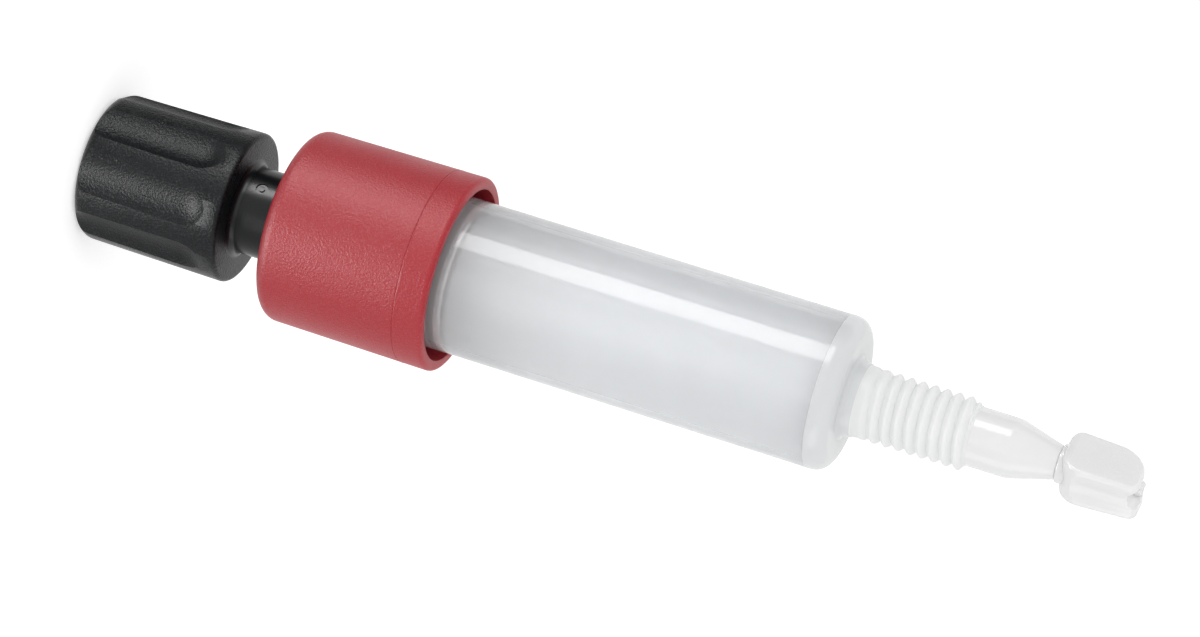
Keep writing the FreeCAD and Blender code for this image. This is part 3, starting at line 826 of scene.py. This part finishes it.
def tab_block():
    """The tab's block: a rounded outline drawn out between the grained faces, then drafted and eased."""
    half = TAB_WIDTH / 2
    end = TAB_BASE + TAB_LENGTH
    outline = rounded_outline([(half, TAB_BASE, -1, 1, TAB_NECK_ROUND), (half, end, -1, -1, TAB_NEAR_ROUND),
                               (-half, end, 1, -1, TAB_FAR_ROUND), (-half, TAB_BASE, 1, 1, TAB_BASE_ROUND)])
    shape = bmesh.new()
    face = shape.faces.new([shape.verts.new((x * MM, -TAB_THICKNESS / 2 * MM, z * MM)) for x, z in outline])
    drawn = bmesh.ops.extrude_face_region(shape, geom=[face])["geom"]
    moved = [item for item in drawn if isinstance(item, bmesh.types.BMVert)]
    bmesh.ops.translate(shape, verts=moved, vec=(0, TAB_THICKNESS * MM, 0))
    bmesh.ops.recalc_face_normals(shape, faces=shape.faces)
    rims = [edge for edge in shape.edges if edge.verts[0].co.y * edge.verts[1].co.y > 0]
    bmesh.ops.bevel(shape, geom=rims, offset=TAB_CORNER * MM, offset_type="OFFSET", affect="EDGES",
                    segments=5, profile=0.5, material=-1)
    for step in range(1, 9):
        level = TAB_BASE + TAB_NECK_EASE * step / 8
        bmesh.ops.bisect_plane(shape, geom=shape.verts[:] + shape.edges[:] + shape.faces[:], dist=1e-8,
                               plane_co=(0, 0, level * MM), plane_no=(0, 0, 1))
    draft = math.tan(math.radians(TAB_TAPER))
    side = TAB_THICKNESS / 2 * MM
    for vert in shape.verts:
        rise = vert.co.z - TAB_BASE * MM
        ease = 1 - min(max(rise / (TAB_NECK_EASE * MM), 0.0), 1.0)
        thinner = rise * draft + TAB_NECK_THINNER * MM * (1 - math.sqrt(1 - ease * ease))
        lean = TAB_END_LEAN * MM * vert.co.y / side * rise / (TAB_LENGTH * MM)
        vert.co.x *= 1 - rise * draft / (half * MM)
        vert.co.y *= 1 - thinner / side
        vert.co.z += lean
    turn_with_tab(shape)
    return as_object("column_tube_tab", shape)


def turn_with_tab(shape):
    """Turn a shape about the axis to where the tab stands."""
    bmesh.ops.rotate(shape, verts=shape.verts, cent=(0, 0, 0),
                     matrix=Matrix.Rotation(math.radians(TAB_TURN), 3, "Z"))


def sprue_stub():
    """The stub left where the sprue broke off, with a torn end."""
    top = TAB_BASE + TAB_LENGTH + SPRUE_PROUD
    foot = top - SPRUE_HEIGHT
    points = [(0, foot), (SPRUE_RADIUS, foot)]
    points += [(SPRUE_RADIUS, foot + SPRUE_HEIGHT * share) for share in (0.3, 0.6, 0.85)]
    points += [(SPRUE_RADIUS * share, top) for share in (0.9, 0.6, 0.3)] + [(0, top)]
    shape = turned(points, 20, closed=False)
    for vert in shape.verts:
        if vert.co.z > (foot + SPRUE_WHOLE) * MM:
            vert.co += noise.noise_vector(vert.co * 5000) * SPRUE_TEAR * MM
            vert.co.z = min(vert.co.z - SPRUE_PROUD * MM, top * MM)
    return as_object("sprue", shape)


def snap_off_tab():
    """The tab: a drafted block with two grained faces, two hollowed faces and a notched end."""
    block = tab_block()
    end = TAB_BASE + TAB_LENGTH
    reach = TAB_WIDTH / 2 + TAB_GROOVE_RADIUS - TAB_GROOVE_DEPTH
    cutters = []
    for side, name in ((0, "front"), (180, "back")):
        angle = math.radians(TAB_TURN + side)
        cutters.append(round_ended_cutter(f"hollow_{name}", reach * math.cos(angle), reach * math.sin(angle),
                                          TAB_BASE + TAB_GROOVE_START, end + HOLLOW_CUT_PAST,
                                          TAB_GROOVE_RADIUS))
    notch = bmesh.new()
    bmesh.ops.create_cone(notch, cap_ends=True, segments=64, radius1=NOTCH_RADIUS * MM,
                          radius2=NOTCH_RADIUS * MM, depth=TAB_WIDTH * 1.5 * MM,
                          matrix=Matrix.Rotation(math.radians(90), 4, "Y"))
    bmesh.ops.translate(notch, verts=notch.verts, vec=(0, -NOTCH_SHIFT * MM, (end + NOTCH_LIFT) * MM))
    turn_with_tab(notch)
    boolean(block, cutters + [as_object("notch_cutter", notch)], "DIFFERENCE")
    boolean(block, [sprue_stub()], "UNION")
    dress(block, MILKY_SMOOTH, MILKY_GRAIN)
    turn = math.radians(TAB_TURN)
    square = Vector((-math.sin(turn), math.cos(turn), 0))
    for face in block.data.polygons:
        level = abs(face.normal.dot(square)) > 0.97
        outer = abs(face.center.dot(square)) > TAB_THICKNESS * 0.4 * MM
        past_neck = face.center.z > (TAB_BASE + TAB_NECK_EASE) * MM
        face.material_index = 1 if level and outer and past_neck else 0
    ease_edges(block, TAB_EASE)
    even_shading(block)
    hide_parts("column_tube")
    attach(block, "column")


# Inside of the tube


def gel_bed():
    """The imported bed, with a slightly uneven edge where it meets the adapter."""
    radius = TUBE_BORE + GEL_WETTING
    points = [(0, BED_TOP), (radius * 0.5, BED_TOP), (radius * 0.9, BED_TOP), (radius, BED_TOP + BED_EDGE)]
    points += stepped_wall(radius, BED_TOP + BED_WALL_START, BED_END, 24) + [(0, BED_END)]
    shape = turned(points, 192, closed=False)
    for vert in shape.verts:
        if abs(vert.co.z - (BED_TOP + BED_EDGE) * MM) < 1e-7:
            vert.co.z += abs(noise.noise(vert.co * 1800)) * BED_UNEVEN * MM
    piece = as_object("gel_bed", shape, 60)
    dress(piece, GEL)
    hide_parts("packed_bed")
    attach(piece, "column")


def pressed_ring():
    """The sealing ring, its outer side pressed flat against the bore."""
    core = TUBE_BORE - FIT_GAP / 2 - SEAL_SECTION
    points = []
    for step in range(48):
        angle = FULL_TURN * step / 48
        across = math.cos(angle)
        reach = (TUBE_BORE + SEAL_PRESS - core) * across ** 0.2 if across > 0 else SEAL_SECTION * across
        points.append((core + reach, SEAL_HEIGHT + SEAL_SECTION * math.sin(angle)))
    piece = as_object("pressed_seal_ring", turned(points, 160), 60)
    dress(piece, SEAL_RUBBER)
    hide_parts("adapter_o_ring")
    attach(piece, "column")


def dress_inner_parts():
    """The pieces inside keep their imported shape."""
    for node, material in (("inlet_adapter", NATURAL_SMOOTH), ("upper_frit", POROUS), ("lower_frit", POROUS)):
        dress(bpy.data.objects[node], material)


knob_and_neck()
plug_nose()
collar()
tube_barrel()
outlet()
snap_off_tab()
gel_bed()
pressed_ring()
dress_inner_parts()


# Floor, light and camera


def floor():
    """A white floor: it takes the object's shadow and is seen as white all the way back."""
    shape = bmesh.new()
    bmesh.ops.create_grid(shape, x_segments=1, y_segments=1, size=FLOOR_REACH)
    piece = as_object("floor", shape)
    finish = Finish("white floor", (0.90, 0.90, 0.90), 0.9)
    finish.set("Specular IOR Level", 0.1)
    finish.set("Emission Color", (1.0, 1.0, 1.0, 1))
    rays = finish.tree.nodes.new("ShaderNodeLightPath")
    looked_at, through = rays.outputs["Is Camera Ray"], rays.outputs["Is Transmission Ray"]
    seen = math_node(finish.tree, "MAXIMUM", looked_at, through)
    lift = math_node(finish.tree, "MULTIPLY", seen, FLOOR_LIFT)
    finish.tree.links.new(lift, finish.shader.inputs["Emission Strength"])
    dress(piece, finish.material)
    piece.visible_glossy = False
    piece.visible_shadow = False


def flag(name, angle, distance, width, low, high):
    """A black card beside the column that only its reflections show."""
    shape = bmesh.new()
    turn = math.radians(angle - 90)
    out = Vector((math.cos(turn), math.sin(turn), 0)) * distance
    side = Vector((-math.sin(turn), math.cos(turn), 0)) * width / 2
    corners = [out + side * sign + Vector((0, 0, height))
               for sign, height in ((-1, low), (1, low), (1, high), (-1, high))]
    shape.faces.new([shape.verts.new(corner * MM) for corner in corners])
    piece = as_object(name, shape)
    finish = Finish("black card", (0.02, 0.02, 0.02), 0.9)
    finish.set("Specular IOR Level", 0.1)
    dress(piece, finish.material)
    piece.visible_camera = False
    piece.visible_diffuse = False
    piece.visible_transmission = False
    piece.visible_shadow = False


def world():
    """Even surroundings: white where they are seen, plainer where they light the surfaces."""
    scene_world = bpy.data.worlds.new("studio")
    bpy.context.scene.world = scene_world
    scene_world.use_nodes = True
    tree = scene_world.node_tree
    backdrop = tree.nodes["Background"]
    backdrop.inputs["Color"].default_value = (1.0, 1.0, 1.0, 1)
    rays = tree.nodes.new("ShaderNodeLightPath")
    less = math_node(tree, "MULTIPLY", rays.outputs["Is Diffuse Ray"], WORLD_LIGHT - 1.0)
    tree.links.new(math_node(tree, "ADD", less, 1.0), backdrop.inputs["Strength"])


def softbox(name, angle, height, distance, width, length, radiance, tip=0.0, gloss=True, soft=True):
    """A soft panel beside the column, facing its axis.

    The angle runs from the front towards the picture's lower side, tip leans it down in degrees, and
    the radiance is given as a share of white. A panel without gloss shows in no reflection, and one
    that isn't soft shows in reflections alone.
    """
    lamp = bpy.data.lights.new(name, "AREA")
    lamp.shape = "RECTANGLE"
    lamp.size = width * MM
    lamp.size_y = length * MM
    lamp.energy = radiance * math.pi * width * length * MM * MM
    thing = bpy.data.objects.new(name, lamp)
    bpy.context.collection.objects.link(thing)
    thing.visible_camera = False
    thing.visible_glossy = gloss
    thing.visible_diffuse = soft
    thing.visible_transmission = soft
    turn = math.radians(angle - 90)
    lean = math.radians(tip)
    out = Vector((math.cos(turn), math.sin(turn), 0))
    side = Vector((0, 0, 1)).cross(out)
    facing = out * math.cos(lean) + Vector((0, 0, 1)) * math.sin(lean)
    along = facing.cross(side)
    thing.matrix_world = Matrix((side, along, facing)).transposed().to_4x4()
    thing.matrix_world.translation = (out * distance + Vector((0, 0, height))) * MM


def camera():
    """The picture's camera, worked out from how the column lies in its frame."""
    slope = math.radians(PICTURE_SLOPE)
    tilt = math.radians(PICTURE_TILT)
    axis = Vector((math.cos(tilt) * math.cos(slope), math.cos(tilt) * math.sin(slope), -math.sin(tilt)))
    down = Vector((-math.sin(slope), math.cos(slope), 0))
    back = axis.cross(down)
    turn = Matrix((down, back, axis))
    aim = Vector((AIM_RIGHT, AIM_DOWN, AIM_AHEAD))
    spot = Vector((0, 0, AIM_HEIGHT)) - turn @ aim
    flip = Matrix.Diagonal((1, -1, -1))
    view = turn @ flip
    lens = bpy.data.cameras.new("camera")
    lens.lens = FOCAL_LENGTH
    lens.sensor_width = SENSOR
    lens.clip_start = 0.01
    thing = bpy.data.objects.new("camera", lens)
    bpy.context.collection.objects.link(thing)
    thing.matrix_world = Matrix.Translation(spot * MM) @ view.to_4x4()
    bpy.context.scene.camera = thing


floor()
world()
flag("upper_flag", -97, 100, 62, -120, 120)
softbox("key", -30, 260, 420, 300, 300, 1.7, tip=32, gloss=False)
softbox("streak", -50.5, 21.5, 100, 46, 67, 5.3, soft=False)
softbox("front", -5, 28, 100, 125, 82, 0.6, soft=False)
softbox("knob_streak", -56, -28, 100, 36, 32, 16.0, soft=False)
softbox("knob_low", 34, -60, 100, 60, 64, 12.0, soft=False)
softbox("knob_glint", 28, -115, 100, 60, 50, 30.0, soft=False)
softbox("fill", 80, 120, 300, 160, 260, 1.2, tip=15)
camera()

bpy.context.scene.view_settings.view_transform = "Standard"
